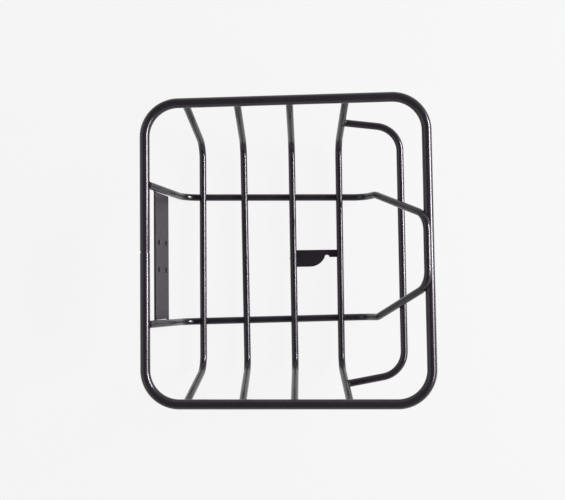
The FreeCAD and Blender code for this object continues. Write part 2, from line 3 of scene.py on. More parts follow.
import bpy
import numpy as np
from mathutils.geometry import tessellate_polygon
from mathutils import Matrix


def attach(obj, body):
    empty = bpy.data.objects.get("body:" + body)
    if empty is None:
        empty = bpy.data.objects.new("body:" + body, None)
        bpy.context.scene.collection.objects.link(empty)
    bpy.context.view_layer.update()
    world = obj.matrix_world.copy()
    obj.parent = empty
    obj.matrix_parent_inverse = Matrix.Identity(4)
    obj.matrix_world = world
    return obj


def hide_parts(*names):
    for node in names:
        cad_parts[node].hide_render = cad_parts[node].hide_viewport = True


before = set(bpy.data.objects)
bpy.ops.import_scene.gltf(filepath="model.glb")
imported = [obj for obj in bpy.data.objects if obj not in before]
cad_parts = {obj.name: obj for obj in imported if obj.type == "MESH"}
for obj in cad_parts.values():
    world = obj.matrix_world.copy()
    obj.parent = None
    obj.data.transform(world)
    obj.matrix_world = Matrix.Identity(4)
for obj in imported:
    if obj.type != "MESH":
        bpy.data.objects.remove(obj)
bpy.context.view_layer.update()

# The carrier is modelled in millimetres, in the row's frame: +X forward, +Y to the left, +Z up.
# Each mesh is turned to metres as it is made.


# ---- Studio -------------------------------------------------------------------------------------
# A plain floor below the two runner rails. It looks pale, also as the coat mirrors it, with a soft
# shadow of the carrier, and the light that it throws back at the carrier is that of a grey card.
FLOOR_REACH, FLOOR_LEVEL = 30, -0.0002
floor_mesh = bpy.data.meshes.new("floor")
floor_mesh.from_pydata([(x * FLOOR_REACH, y * FLOOR_REACH, FLOOR_LEVEL)
                        for x, y in ((-1, -1), (1, -1), (1, 1), (-1, 1))], [], [(0, 1, 2, 3)])
floor = bpy.data.objects.new("floor", floor_mesh)
bpy.context.scene.collection.objects.link(floor)

floor_paint = bpy.data.materials.new("pale_floor")
floor_paint.use_nodes = True
nodes, links = floor_paint.node_tree.nodes, floor_paint.node_tree.links
nodes.clear()
output = nodes.new("ShaderNodeOutputMaterial")
lit = nodes.new("ShaderNodeBsdfDiffuse")
lit.inputs["Color"].default_value = (0.4, 0.4, 0.4, 1)
shadow = nodes.new("ShaderNodeBsdfDiffuse")
shadow.inputs["Color"].default_value = (0.025, 0.025, 0.025, 1)
glow = nodes.new("ShaderNodeEmission")
glow.inputs["Color"].default_value = (1, 1, 1, 1)
glow.inputs["Strength"].default_value = 0.882
shown = nodes.new("ShaderNodeAddShader")
rays = nodes.new("ShaderNodeLightPath")
choice = nodes.new("ShaderNodeMixShader")
seen_or_mirrored = nodes.new("ShaderNodeMath")
seen_at_all = nodes.new("ShaderNodeMath")
seen_or_mirrored.operation = seen_at_all.operation = "MAXIMUM"
links.new(shadow.outputs[0], shown.inputs[0])
links.new(glow.outputs[0], shown.inputs[1])
links.new(rays.outputs["Is Camera Ray"], seen_or_mirrored.inputs[0])
links.new(rays.outputs["Is Glossy Ray"], seen_or_mirrored.inputs[1])
links.new(seen_or_mirrored.outputs[0], seen_at_all.inputs[0])
links.new(rays.outputs["Is Transmission Ray"], seen_at_all.inputs[1])
links.new(seen_at_all.outputs[0], choice.inputs[0])
links.new(lit.outputs[0], choice.inputs[1])
links.new(shown.outputs[0], choice.inputs[2])
links.new(choice.outputs[0], output.inputs["Surface"])
floor_mesh.materials.append(floor_paint)

# The room: pale walls all round, and a dim ceiling
room = bpy.data.worlds.new("room")
room.use_nodes = True
nodes, links = room.node_tree.nodes, room.node_tree.links
nodes.clear()
output = nodes.new("ShaderNodeOutputWorld")
wall = nodes.new("ShaderNodeBackground")
wall.inputs["Color"].default_value = (0.9, 0.9, 0.9, 1)
ceiling = nodes.new("ShaderNodeBackground")
ceiling.inputs["Color"].default_value = (0.235, 0.203, 0.25, 1)
way = nodes.new("ShaderNodeTexCoord")
split = nodes.new("ShaderNodeSeparateXYZ")
height = nodes.new("ShaderNodeMapRange")
height.interpolation_type = "SMOOTHSTEP"
height.inputs["From Min"].default_value = 0.25
height.inputs["From Max"].default_value = 0.7
choice = nodes.new("ShaderNodeMixShader")
links.new(way.outputs["Generated"], split.inputs[0])
links.new(split.outputs["Z"], height.inputs["Value"])
links.new(height.outputs["Result"], choice.inputs[0])
links.new(wall.outputs[0], choice.inputs[1])
links.new(ceiling.outputs[0], choice.inputs[2])
links.new(choice.outputs[0], output.inputs["Surface"])
bpy.context.scene.world = room


LAMP_DISTANCE, AIM_HEIGHT = 2.0, 0.08


def soft_light(name, azimuth, elevation, height, width, power):
    """A softbox that faces the carrier. Azimuth counts from +X towards +Y, elevation from the floor."""
    lamp = bpy.data.lights.new(name, "AREA")
    lamp.shape = "RECTANGLE"
    lamp.size, lamp.size_y = height, width
    lamp.energy = power
    box = bpy.data.objects.new(name, lamp)
    turn, rise = math.radians(azimuth), math.radians(elevation)
    outward = LAMP_DISTANCE * math.cos(rise)
    box.location = (outward * math.cos(turn), outward * math.sin(turn),
                    AIM_HEIGHT + LAMP_DISTANCE * math.sin(rise))
    box.rotation_euler = (0, math.radians(90 - elevation), turn)
    box.visible_camera = False
    bpy.context.scene.collection.objects.link(box)


soft_light("front_softbox", azimuth=14, elevation=28, height=0.42, width=0.95, power=68)
soft_light("side_softbox", azimuth=-11, elevation=37, height=0.42, width=0.7, power=18)
soft_light("rear_fill", azimuth=180, elevation=38, height=1.2, width=2.4, power=7)

camera_data = bpy.data.cameras.new("camera")
camera_data.sensor_width = 36.0
camera_data.lens = 54.16
camera_data.clip_end = 200
camera = bpy.data.objects.new("camera", camera_data)
camera.location = (0.003664, -0.066306, 1.215485)
camera.rotation_euler = (math.radians(3.543), math.radians(0.543), math.radians(-0.748))
bpy.context.scene.collection.objects.link(camera)
bpy.context.scene.camera = camera
bpy.context.scene.view_settings.view_transform = "Standard"


# ---- Top hoop -----------------------------------------------------------------------------------
# Half-inch steel tube bent to a ring on a mandrel, a little wider at the front, and butted in the
# middle of its rear side. Its powder coat is black, between matt and gloss.
def bent_route(corners, radius, closed=False, turn_step=math.radians(3)):
    """Points and directions along straight runs joined by arcs that touch both runs.
    An arc starts r tan(turn / 2) before its corner and goes on as start + a r sin(t) + n r (1 - cos(t)),
    with a the direction before the corner and n the direction square to it towards the next run."""
    corners = np.array(corners, float)
    radii = np.broadcast_to(np.array(radius, float), len(corners))
    bends = range(len(corners)) if closed else range(1, len(corners) - 1)
    points, ways = [], []
    for i in bends:
        a, b = corners[i] - corners[i - 1], corners[(i + 1) % len(corners)] - corners[i]
        a, b = a / np.linalg.norm(a), b / np.linalg.norm(b)
        turn = math.acos(np.clip(a @ b, -1, 1))
        n = (b - a * math.cos(turn)) / math.sin(turn)
        start = corners[i] - a * radii[i] * math.tan(turn / 2)
        t = np.linspace(0, turn, max(3, int(turn / turn_step) + 1))[:, None]
        points.append(start + radii[i] * (a * np.sin(t) + n * (1 - np.cos(t))))
        ways.append(a * np.cos(t) + n * np.sin(t))
    if not closed:
        points = [corners[:1]] + points + [corners[-1:]]
        ways = [ways[0][:1]] + ways + [ways[-1][-1:]]
    return np.concatenate(points), np.concatenate(ways)


def ring_frame(ways, reference):
    """Two directions square to each direction of a route: the reference made square to it, and the
    cross product of the two."""
    first = reference - ways * (ways @ reference)[:, None]
    first /= np.linalg.norm(first, axis=1)[:, None]
    return first, np.cross(ways, first)


SHARP_EDGE = math.radians(50)


def piece_from(name, shapes, material, node):
    """Mesh object in metres that rides on the carrier and stands for a CAD node. Each shape is its
    vertices, its curved faces and its flat faces. Edges sharper than SHARP_EDGE aren't smoothed over."""
    vertices = np.concatenate([shape[0] for shape in shapes])
    starts = np.cumsum([0] + [len(shape[0]) for shape in shapes])
    curved, flat = ([(np.asarray(face) + start).tolist()
                     for shape, start in zip(shapes, starts) for face in shape[kind]] for kind in (1, 2))
    mesh = bpy.data.meshes.new(name)
    mesh.from_pydata((vertices / 1000).tolist(), [], curved + flat)
    mesh.set_sharp_from_angle(angle=SHARP_EDGE)
    mesh.polygons.foreach_set("use_smooth", np.arange(len(mesh.polygons)) < len(curved))
    mesh.update()
    mesh.materials.append(material)
    piece = bpy.data.objects.new(name, mesh)
    bpy.context.scene.collection.objects.link(piece)
    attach(piece, "root")
    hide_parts(node)


def grid_faces(rows, columns, wrap_rows=False):
    """Quads between the points of a grid whose columns go round. Rows may go round as well."""
    i, j = np.meshgrid(np.arange(rows if wrap_rows else rows - 1), np.arange(columns), indexing="ij")
    here, right = i * columns + j, i * columns + (j + 1) % columns
    below, across = (i + 1) % rows * columns + j, (i + 1) % rows * columns + (j + 1) % columns
    return np.stack([here, right, across, below], -1).reshape(-1, 4)


def end_fans(rows, columns):
    """Triangles that close the first and the last ring of a grid, each round a point of its own. The two
    points come after the grid's own."""
    j, last, middles = np.arange(columns), (rows - 1) * columns, rows * columns
    first_fan = np.stack([(j + 1) % columns, j, np.full(columns, middles)], 1)
    last_fan = np.stack([last + j, last + (j + 1) % columns, np.full(columns, middles + 1)], 1)
    return np.concatenate([first_fan, last_fan])


def tube_mesh(points, ways, radius, reference, around=72):
    """A solid round bar. Ring point = centre + r (cos(v) first + sin(v) second). Each end is closed by
    triangles round its middle, and they are flat."""
    first, second = ring_frame(ways, np.array(reference, float))
    radius = np.broadcast_to(radius, len(points))[:, None, None]
    v = np.linspace(0, 2 * math.pi, around, endpoint=False)[None, :, None]
    rings = points[:, None] + radius * (np.cos(v) * first[:, None] + np.sin(v) * second[:, None])
    vertices = np.concatenate([rings.reshape(-1, 3), points[:1], points[-1:]])
    return vertices, grid_faces(len(points), around), end_fans(len(points), around)


WAVE_HEIGHT, GRAIN_HEIGHT = 0.0000025, 0.0000003


def powder_coat(name, colour, roughness, peel):
    """Black powder coat: a pigment that varies a little, and the faint orange peel of melted powder.
    The peel is a bump of millimetre waves with a finer grain on top, both given in metres of height."""
    coat = bpy.data.materials.new(name)
    coat.use_nodes = True
    nodes, links = coat.node_tree.nodes, coat.node_tree.links
    surface = nodes["Principled BSDF"]
    surface.inputs["IOR"].default_value = 1.5
    surface.inputs["Specular Tint"].default_value = (0.97, 0.91, 1.0, 1)
    place = nodes.new("ShaderNodeTexCoord")

    def noise(scale, detail):
        field = nodes.new("ShaderNodeTexNoise")
        field.inputs["Scale"].default_value = scale
        field.inputs["Detail"].default_value = detail
        links.new(place.outputs["Object"], field.inputs["Vector"])
        return field.outputs["Fac"]

    def spread(source, low, high):
        fit = nodes.new("ShaderNodeMapRange")
        fit.inputs["From Min"].default_value, fit.inputs["From Max"].default_value = 0.3, 0.7
        fit.inputs["To Min"].default_value, fit.inputs["To Max"].default_value = low, high
        links.new(source, fit.inputs["Value"])
        return fit.outputs["Result"]

    tint = nodes.new("ShaderNodeMix")
    tint.data_type = "RGBA"
    links.new(spread(noise(35, 3), 0, 1), tint.inputs["Factor"])
    tint.inputs["A"].default_value = (*[0.86 * c for c in colour], 1)
    tint.inputs["B"].default_value = (*[1.14 * c for c in colour], 1)
    links.new(tint.outputs["Result"], surface.inputs["Base Color"])
    links.new(spread(noise(60, 2), roughness - 0.03, roughness + 0.03), surface.inputs["Roughness"])

    waves = nodes.new("ShaderNodeBump")
    waves.inputs["Distance"].default_value = WAVE_HEIGHT * peel
    links.new(noise(700, 2), waves.inputs["Height"])
    grain = nodes.new("ShaderNodeBump")
    grain.inputs["Distance"].default_value = GRAIN_HEIGHT * peel
    links.new(noise(3000, 1), grain.inputs["Height"])
    links.new(waves.outputs["Normal"], grain.inputs["Normal"])
    links.new(grain.outputs["Normal"], surface.inputs["Normal"])
    return coat


HOOP_RADIUS, HOOP_LEVEL, HOOP_LENGTH = 6.35, 134.45, 362.5
HOOP_REAR, HOOP_FRONT = -HOOP_LENGTH / 2, HOOP_LENGTH / 2
HOOP_WIDTH, HOOP_FLARE, HOOP_SHIFT, HOOP_SKEW, HOOP_CORNER = 388.52, 9.6, 0.035, 0.65, 43.5
JOINT_PLACE, JOINT_GAP, JOINT_SINK = 0.5, 1.2, 0.8


def hoop_side(x, side):
    """Y of a side tube's axis, side 1 for the left and -1 for the right. Both open towards the front."""
    spread = HOOP_SKEW + side * HOOP_FLARE / 2
    return HOOP_SHIFT + side * HOOP_WIDTH / 2 + spread * x / HOOP_LENGTH


black = (0.0095, 0.0084, 0.0103)
hoop_coat = powder_coat("hoop_powder_coat", black, roughness=0.2, peel=1.0)
hoop_points, hoop_ways = bent_route([
    (HOOP_REAR, JOINT_PLACE + JOINT_GAP / 2, HOOP_LEVEL),
    (HOOP_REAR, hoop_side(HOOP_REAR, 1), HOOP_LEVEL), (HOOP_FRONT, hoop_side(HOOP_FRONT, 1), HOOP_LEVEL),
    (HOOP_FRONT, hoop_side(HOOP_FRONT, -1), HOOP_LEVEL), (HOOP_REAR, hoop_side(HOOP_REAR, -1), HOOP_LEVEL),
    (HOOP_REAR, JOINT_PLACE - JOINT_GAP / 2, HOOP_LEVEL),
], HOOP_CORNER)
# The saw's edge is broken on both ends of the tube, and more on the right one: at a share s of the break's
# length from its end, a tube is thinner by depth (1 - sqrt(1 - (1 - s)^2))
LEFT_BREAK_LENGTH, LEFT_BREAK_DEPTH = 0.5, 0.5
RIGHT_BREAK_LENGTH, RIGHT_BREAK_DEPTH = 1.3, 0.78
s = np.array([0.0, 0.15, 0.35, 0.6, 1.0])
thinner = 1 - np.sqrt(1 - (1 - s) ** 2)
lead = hoop_points[0] + hoop_ways[0] * LEFT_BREAK_LENGTH * s[:, None]
tail = hoop_points[-1] - hoop_ways[-1] * RIGHT_BREAK_LENGTH * s[::-1, None]
hoop_radii = np.concatenate([HOOP_RADIUS - LEFT_BREAK_DEPTH * thinner,
                             np.full(len(hoop_points) - 2, HOOP_RADIUS),
                             HOOP_RADIUS - RIGHT_BREAK_DEPTH * thinner[::-1]])
hoop_points = np.concatenate([lead, hoop_points[1:-1], tail])
hoop_ways = np.concatenate([np.repeat(hoop_ways[:1], len(s), 0), hoop_ways[1:-1],
                            np.repeat(hoop_ways[-1:], len(s), 0)])
piece_from("bent_hoop", [tube_mesh(hoop_points, hoop_ways, hoop_radii, (0, 0, 1))],
           hoop_coat, "hoop_tube")

# ---- Butt weld of the hoop ----------------------------------------------------------------------
# A bead of filler right round the butt joint, below the tube's surface and coated with it. Its
# surface sinks and rises a little round the ring, as the weld ran.
JOINT_BITE, JOINT_RINGS, JOINT_UNEVEN = 0.2, 7, 0.012
weld_coat = powder_coat("weld_powder_coat", (0.010, 0.0092, 0.010), roughness=0.3, peel=2.5)
across_joint = np.linspace(-JOINT_GAP / 2 - JOINT_BITE, JOINT_GAP / 2 + JOINT_BITE, JOINT_RINGS)
joint_points = np.array([HOOP_REAR, JOINT_PLACE, HOOP_LEVEL]) + across_joint[:, None] * [0, 1, 0]
bead, bead_sides, bead_ends = tube_mesh(joint_points, np.tile([0.0, 1.0, 0.0], (JOINT_RINGS, 1)),
                                        HOOP_RADIUS - JOINT_SINK, (0, 0, 1))
on_axis = bead * [0, 1, 0] + [HOOP_REAR, 0, HOOP_LEVEL]
spin = np.arctan2(bead[:, 2] - HOOP_LEVEL, bead[:, 0] - HOOP_REAR)
uneven = 1 - JOINT_UNEVEN * (1 + np.sin(5 * spin) * np.cos(3 * spin + 1))
bead = on_axis + (bead - on_axis) * uneven[:, None]
piece_from("ground_joint", [(bead, bead_sides, bead_ends)], weld_coat, "hoop_joint_weld")


# ---- Cross-bars ---------------------------------------------------------------------------------
# Four tubes of three eighths of an inch, bent to a U. They hang from the underside of the hoop and
# carry the basket. Each leans and turns a little its own way, as the welding jig left it.
THIN_RADIUS, THIN_BEND, SEAT_GAP = 4.8, 27.0, 0.05
BED_DROP, BED_MIDDLE, BED_LENGTH = 120.0, 1.0, 315.6
BED_LEVEL = HOOP_LEVEL - BED_DROP
bar_coat = powder_coat("cross_bar_powder_coat", black, roughness=0.16, peel=1.0)
bars = []
for number, (place, lean, turn) in enumerate(
        [(-119.1, -5.0, 0.2), (-59.1, -0.7, -0.5), (8.6, -1.2, -0.2), (74.6, 1.6, 0.1)], start=1):
    lean, turn = math.radians(lean), math.radians(turn)
    top, rise = place + BED_DROP * math.tan(lean), BED_DROP / math.cos(lean)
    flat = np.array([(hoop_side(top, -1), rise), (BED_MIDDLE - BED_LENGTH / 2, 0),
                     (BED_MIDDLE + BED_LENGTH / 2, 0), (hoop_side(top, 1), rise)])
    along_y = np.array([math.sin(turn), math.cos(turn), 0])
    upward = np.array([math.sin(lean) * math.cos(turn), -math.sin(lean) * math.sin(turn), math.cos(lean)])
    corners = np.array([place, 0, BED_LEVEL]) + flat[:, :1] * along_y + flat[:, 1:] * upward
    # Each leg's end stops inside the hoop, a quarter of the hoop's radius short of its axis
    legs = [(corners[end], (corners[bend] - corners[end]) / np.linalg.norm(corners[bend] - corners[end]))
            for end, bend in ((0, 1), (3, 2))]
    route = corners.copy()
    route[[0, 3]] += [leg[1] * HOOP_RADIUS / 4 for leg in legs]
    points, ways = bent_route(route, THIN_BEND)
    piece_from(f"bent_bar_{number}", [tube_mesh(points, ways, THIN_RADIUS, (1, 0, 0))],
               bar_coat, f"cross_bar_{number}")
    bars.append({"corners": corners, "legs": legs, "place": place, "turn": turn})


# ---- Welds at the cross-bars' ends --------------------------------------------------------------
# Each leg is welded to the hoop's underside all round, by hand, with a bead of filler whose ripples
# show through the coat.
RING_STEPS, RING_PITCH = 121, 1.5
BEAD_BULGE, BEAD_RIPPLE, BEAD_BITE, BEAD_TIP = 0.35, 0.16, 0.4, 0.03


def saddle_bead(end, leg, leg_radius, axis_point, axis, axis_radius, width, reach=math.pi, seed=0.0):
    """Bead round a tube that meets a thicker one. From the leg's ring, end + r (e1 cos(v) + e2 sin(v)), a
    ray along the leg leaves the thick tube at the seam. The bead's foot on the leg is a width down from
    the seam, its foot on the thick tube a width outwards from it, and between them it bulges as
    (1 - u)^2 foot + 2 u (1 - u) crest + u^2 foot. Its ripples, about RING_PITCH apart, are a cosine of the
    angle. A reach below pi leaves out the far side of the leg, and the width then falls to BEAD_TIP of
    itself at both ends."""
    outward = np.cross(axis, leg)
    outward /= np.linalg.norm(outward)
    e1 = outward if outward @ (end - axis_point) <= 0 else -outward
    e2 = np.cross(leg, e1)
    whole = reach >= math.pi
    v = np.linspace(-reach, reach, RING_STEPS, endpoint=not whole)[:, None]
    radial = e1 * np.cos(v) + e2 * np.sin(v)
    ring = end + leg_radius * radial - axis_point

    def square(a):
        return a - (a @ axis)[..., None] * axis

    a, b, c = square(leg) @ square(leg), (square(ring) * square(leg)).sum(1), (square(ring) ** 2).sum(1)
    out = (-b + np.sqrt(np.maximum(b * b - a * (c - axis_radius ** 2), 0))) / a
    seam = ring + out[:, None] * leg
    fade = np.ones_like(v) if whole else np.sqrt(np.maximum(1 - (v / reach) ** 4, BEAD_TIP ** 2))
    w = fade * width * (1 + 0.08 * np.sin(3 * v + seed) + 0.05 * np.sin(7 * v + 2 * seed))
    leg_foot = seam + w * leg
    spread_foot = seam + w * radial
    beside = square(spread_foot)
    hoop_foot = spread_foot - beside + beside * axis_radius / np.linalg.norm(beside, axis=1)[:, None]
    middle = (leg_foot + hoop_foot) / 2
    lift = middle - seam
    lift /= np.maximum(np.linalg.norm(lift, axis=1)[:, None], 1e-6)
    ripple = 0.5 + 0.5 * np.cos(round(2 * reach * leg_radius / RING_PITCH) * v + seed)
    crest = middle + lift * w * (BEAD_BULGE + BEAD_RIPPLE * ripple)
    u = np.linspace(0, 1, 9)[:, None, None]
    rows = (1 - u) ** 2 * leg_foot + 2 * u * (1 - u) * crest + u ** 2 * hoop_foot
    rows = np.concatenate([rows, (seam - BEAD_BITE * w * radial)[None]]) + axis_point
    vertices = rows.reshape(-1, 3)
    faces = grid_faces(len(rows), RING_STEPS, wrap_rows=True)[:, ::-1]
    if whole:
        return vertices, faces, []
    faces = faces[faces[:, 2] % RING_STEPS != 0]
    first_end = np.arange(len(rows)) * RING_STEPS
    return vertices, faces, [first_end, first_end[::-1] + RING_STEPS - 1]


END_BEAD = 1.5
for number, bar in enumerate(bars, start=1):
    shapes = []
    for side, (end, leg) in zip((-1, 1), bar["legs"]):
        axis = np.array([HOOP_LENGTH, hoop_side(HOOP_FRONT, side) - hoop_side(HOOP_REAR, side), 0])
        shapes.append(saddle_bead(end, leg, THIN_RADIUS, end, axis / np.linalg.norm(axis), HOOP_RADIUS,
                                  END_BEAD, seed=number + 0.5 * side))
    piece_from(f"bar_{number}_end_beads", shapes, weld_coat, f"cross_bar_{number}_end_welds")

# ---- Runner -------------------------------------------------------------------------------------
# One thin tube that carries all four cross-bars: up a riser to the hoop at the rear, along under the
# bars, up the slope, across the front on top of the hoop, and back the same way.
RAIL_LEVEL, RUNNER_MIDDLE, RUNNER_WIDTH, TOE_IN = THIN_RADIUS, -2.6, 173.4, math.radians(0.75)
RISER_SEAT, RISER_LEAN, RISER_CAP, CAP_EDGE = 4.8, math.radians(12.7), 0.8, 0.6
FOLD_PLACE, FOLD_RUN = 109.6, 33.0
FRONT_WIDTH, FRONT_BITE, FRONT_ANGLE = 89.1, 0.1, math.radians(68)


def rail_half_width(x):
    """Half the distance between the rails, which close in towards the front."""
    return RUNNER_WIDTH / 2 - x * math.tan(TOE_IN)


riser_top = HOOP_REAR + RISER_SEAT
riser_foot = riser_top + (HOOP_LEVEL - RAIL_LEVEL) * math.tan(RISER_LEAN)
front_reach = HOOP_RADIUS + THIN_RADIUS - FRONT_BITE
front_x = HOOP_FRONT - front_reach * math.cos(FRONT_ANGLE)
front_z = HOOP_LEVEL + front_reach * math.sin(FRONT_ANGLE)
slope = math.atan((front_x - FOLD_PLACE) / (front_z - RAIL_LEVEL))
inward_x, inward_z = FOLD_PLACE + FOLD_RUN * math.sin(slope), RAIL_LEVEL + FOLD_RUN * math.cos(slope)
left_side = [(riser_top, rail_half_width(riser_top), HOOP_LEVEL),
             (riser_foot, rail_half_width(riser_foot), RAIL_LEVEL),
             (FOLD_PLACE, rail_half_width(FOLD_PLACE), RAIL_LEVEL),
             (inward_x, rail_half_width(inward_x), inward_z),
             (front_x, FRONT_WIDTH / 2, front_z)]
right_side = [(x, -y, z) for x, y, z in reversed(left_side)]
runner_corners = np.array(left_side + right_side) + (0, RUNNER_MIDDLE, 0)
runner_points, runner_ways = bent_route(runner_corners, THIN_BEND)
runner_coat = powder_coat("runner_powder_coat", black, roughness=0.2, peel=1.0)
# Each riser's end is closed by a flat cap of weld with a round edge: at v round the edge the cap stands
# edge (1 - cos(v)) inside the tube's surface and edge (1 - sin(v)) below the cap's face
v = np.radians([90, 60, 30, 0])
edge_in, edge_out = CAP_EDGE * (1 - np.cos(v)), RISER_CAP - CAP_EDGE * (1 - np.sin(v))
points = np.concatenate([runner_points[0] - runner_ways[0] * edge_out[:, None], runner_points[1:-1],
                         runner_points[-1] + runner_ways[-1] * edge_out[::-1, None]])
ways = np.concatenate([np.repeat(runner_ways[:1], len(v), 0), runner_ways[1:-1],
                       np.repeat(runner_ways[-1:], len(v), 0)])
radii = np.concatenate([THIN_RADIUS - edge_in, np.full(len(runner_points) - 2, THIN_RADIUS),
                        THIN_RADIUS - edge_in[::-1]])
piece_from("bent_runner", [tube_mesh(points, ways, radii, (-1, 0, 1))],
           runner_coat, "runner_tube")

# ---- Welds at the risers' ends ------------------------------------------------------------------
# A riser's end stands beside the hoop's axis, so its bead of filler runs only round the side that
# touches the hoop.
RISER_BEAD, RISER_BEAD_REACH = 0.8, math.radians(106)
shapes = []
for seed, (end, way) in enumerate(((runner_points[0], runner_ways[0]),
                                   (runner_points[-1], -runner_ways[-1]))):
    shapes.append(saddle_bead(end, way, THIN_RADIUS, np.array([HOOP_REAR, end[1], HOOP_LEVEL]),
                              np.array([0.0, 1.0, 0.0]), HOOP_RADIUS, RISER_BEAD,
                              reach=RISER_BEAD_REACH, seed=seed))
piece_from("riser_beads", shapes, weld_coat, "runner_rear_welds")


# ---- Welds at the runner's front ----------------------------------------------------------------
# On each side of the middle a stretch of filler closes the grooves between the runner's front and the
# hoop, up to where the runner bends away.
RIPPLE_PITCH, GROOVE_BULGE, GROOVE_RIPPLE = 1.4, 0.3, 0.1
FRONT_BEAD, FRONT_BEAD_START, FRONT_BEAD_END = 2.6, 24, 44


def groove_beads(points, ways, axis_x, axis_z, width, seed):
    """Filler between two tubes that lie along each other. On each tube a foot stands w / radius round
    from the line between the axes, and foot and foot are joined by a line that bulges out a little.
    The width falls to nothing at both ends, and its ripples are a cosine of the run along the bead."""
    run = np.concatenate([[0], np.cumsum(np.linalg.norm(np.diff(points, axis=0), axis=1))])
    along = run / run[-1]
    w = width * np.maximum(1 - (2 * along - 1) ** 4, 0) ** 0.5 * (1 + 0.07 * np.sin(9 * along + seed))
    centre = np.stack([np.full(len(points), axis_x), points[:, 1], np.full(len(points), axis_z)], 1)
    u = points - centre
    u /= np.linalg.norm(u, axis=1)[:, None]
    side = np.cross([0.0, 1.0, 0.0], u)
    down = -(u - ways * (u * ways).sum(1)[:, None])
    down /= np.linalg.norm(down, axis=1)[:, None]
    beside = np.cross(ways, down)
    beside *= np.sign((beside * side).sum(1))[:, None]
    ripple = (1 + GROOVE_RIPPLE * np.cos(2 * math.pi * run / RIPPLE_PITCH + seed))[:, None]
    rows = []
    for sign in (1, -1):
        a, b = (w / HOOP_RADIUS)[:, None], (w / THIN_RADIUS)[:, None]
        low = centre + HOOP_RADIUS * (u * np.cos(a) + sign * side * np.sin(a))
        high = points + THIN_RADIUS * (down * np.cos(b) + sign * beside * np.sin(b))
        crest = (low + high) / 2 + sign * side * GROOVE_BULGE * w[:, None] * ripple
        t = np.linspace(0, 1, 7)[:, None, None]
        strip = (1 - t) ** 2 * low + 2 * t * (1 - t) * crest + t ** 2 * high
        rows.append(strip if sign == 1 else strip[::-1])
    rows = np.concatenate(rows).transpose(1, 0, 2)
    around = rows.shape[1]
    vertices = np.concatenate([rows.reshape(-1, 3), rows[:1].mean(1), rows[-1:].mean(1)])
    walls, ends = grid_faces(len(rows), around)[:, ::-1], end_fans(len(rows), around)[:, ::-1]
    return vertices, walls.tolist() + ends.tolist(), []


fine_points, fine_ways = bent_route(runner_corners, THIN_BEND, turn_step=math.radians(0.7))
shapes = []
for seed, side in enumerate((1, -1)):
    outwards = side * (fine_points[:, 1] - RUNNER_MIDDLE)
    stretch = (outwards > FRONT_BEAD_START) & (outwards < FRONT_BEAD_END)
    shapes.append(groove_beads(fine_points[stretch], fine_ways[stretch], HOOP_FRONT, HOOP_LEVEL,
                               FRONT_BEAD, seed))
piece_from("front_beads", shapes, weld_coat, "runner_front_welds")


# ---- Weld spots on the rails --------------------------------------------------------------------
# Where a cross-bar lies on a rail, one spot of filler holds it. It shows as a small collar between
# the two tubes.
RAIL_SPOT, SPOT_BITE, SPOT_CORE, SPOT_WAIST = 2.9, 0.6, 0.5, 0.5


def crossing_spot(x, y, turn, seed, around=60):
    """Collar between a bar above and a rail below that cross. At angle v and distance w from the middle
    the bar's underside is at bed - sqrt(r^2 - (w cos(v))^2) and the rail's top at rail + sqrt(r^2 -
    (w sin(v))^2). Between them the collar's wall is drawn in by a parabola. Its ends are closed inside
    the two tubes."""
    v = np.linspace(0, 2 * math.pi, around, endpoint=False)
    w = RAIL_SPOT * (1 + 0.08 * np.sin(3 * v + seed) + 0.04 * np.cos(11 * v))
    high = BED_LEVEL - np.sqrt(THIN_RADIUS ** 2 - (w * np.cos(v - turn)) ** 2)
    low = RAIL_LEVEL + np.sqrt(THIN_RADIUS ** 2 - (w * np.sin(v)) ** 2)
    t = np.linspace(0, 1, 7)[:, None]
    spread_out = w * (1 - SPOT_WAIST * t * (1 - t))
    wall = np.stack([x + spread_out * np.cos(v), y + spread_out * np.sin(v), low + t * (high - low)], -1)
    core_x, core_y = x + SPOT_CORE * w * np.cos(v), y + SPOT_CORE * w * np.sin(v)
    floor_ring = np.stack([core_x, core_y, low - SPOT_BITE], -1)[None]
    roof_ring = np.stack([core_x, core_y, high + SPOT_BITE], -1)[None]
    rings = np.concatenate([floor_ring, wall, roof_ring])
    vertices = np.concatenate([rings.reshape(-1, 3), rings[:1].mean(1), rings[-1:].mean(1)])
    walls, ends = grid_faces(len(rings), around), end_fans(len(rings), around)
    return vertices, walls.tolist() + ends.tolist(), []


for number, bar in enumerate(bars, start=1):
    shapes = []
    for side in (1, -1):
        y = RUNNER_MIDDLE + side * rail_half_width(bar["place"])
        x = bar["place"] + y * math.tan(bar["turn"])
        shapes.append(crossing_spot(x, y, bar["turn"], number + side))
    piece_from(f"bar_{number}_rail_spots", shapes, weld_coat, f"cross_bar_{number}_rail_welds")

# ---- Bumper -------------------------------------------------------------------------------------
# A flat U of the thin tube between the legs of the front cross-bar, half way down. It keeps the
# basket and its lamp off walls.
BUMPER_DROP, BUMPER_FRONT, BUMPER_WIDTH, BUMPER_MIDDLE, BUMPER_CORNER = 61.3, 154.5, 328.6, 2.9, 34.5
front_bar = bars[3]
front_corners, share = front_bar["corners"], BUMPER_DROP / BED_DROP
arm_roots = [front_corners[0] + (front_corners[1] - front_corners[0]) * share,
             front_corners[3] + (front_corners[2] - front_corners[3]) * share]
bumper_level = HOOP_LEVEL - BUMPER_DROP
bumper_corners = np.array([arm_roots[0], (BUMPER_FRONT, BUMPER_MIDDLE - BUMPER_WIDTH / 2, bumper_level),
                           (BUMPER_FRONT, BUMPER_MIDDLE + BUMPER_WIDTH / 2, bumper_level), arm_roots[1]])
points, ways = bent_route(bumper_corners, BUMPER_CORNER)
bumper_coat = powder_coat("bumper_powder_coat", black, roughness=0.18, peel=1.0)
piece_from("bent_bumper", [tube_mesh(points, ways, THIN_RADIUS, (0, 0, 1))],
           bumper_coat, "bumper_hoop")

